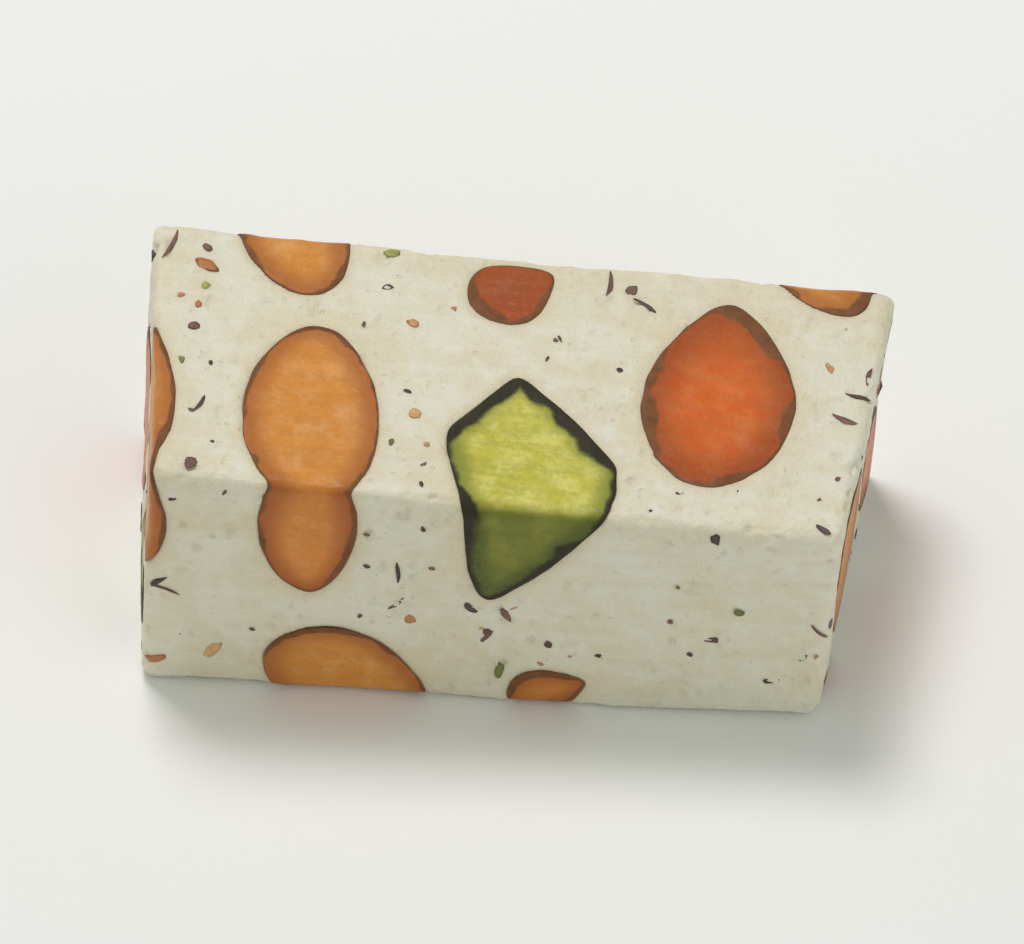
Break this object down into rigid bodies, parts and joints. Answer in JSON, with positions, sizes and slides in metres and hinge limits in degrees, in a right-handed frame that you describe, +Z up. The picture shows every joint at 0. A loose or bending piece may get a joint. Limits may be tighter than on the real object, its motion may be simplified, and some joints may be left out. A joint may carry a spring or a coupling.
{
  "type": "nougat bar",
  "caption": "Hand-cut bar of soft white nougat with almonds and pistachios in it, each cut flush where the knife went through.",
  "frame": {"origin": "middle of the footprint, on the surface that the bar lies on", "axes": "+X along the bar's length, +Y towards its back, +Z up"},
  "size_m": [0.0559, 0.027, 0.0226],
  "materials": {
    "nougat": "soft satin, cut with a knife",
    "almond": "cut almond, satin, with a brown skin",
    "pistachio": "cut pistachio, satin, with a dark skin"
  },
  "bodies": {
    "root": {"nougat": "nougat", "almond_front_left": "almond", "pistachio_front": "pistachio", "almond_top_right": "almond", "almond_top_middle": "almond", "almond_front_foot": "almond", "almond_front_bit": "almond", "almond_back_left": "almond", "almond_back_right": "almond", "pistachio_back": "pistachio", "almond_back_middle": "almond", "almond_back_foot": "almond", "almond_left_edge": "almond", "almond_left_end": "almond", "pistachio_left_end": "pistachio", "almond_right_end": "almond", "almond_right_foot": "almond", "almond_under_left": "almond", "pistachio_under": "pistachio", "almond_under_right": "almond"}
  },
  "joints": []
}
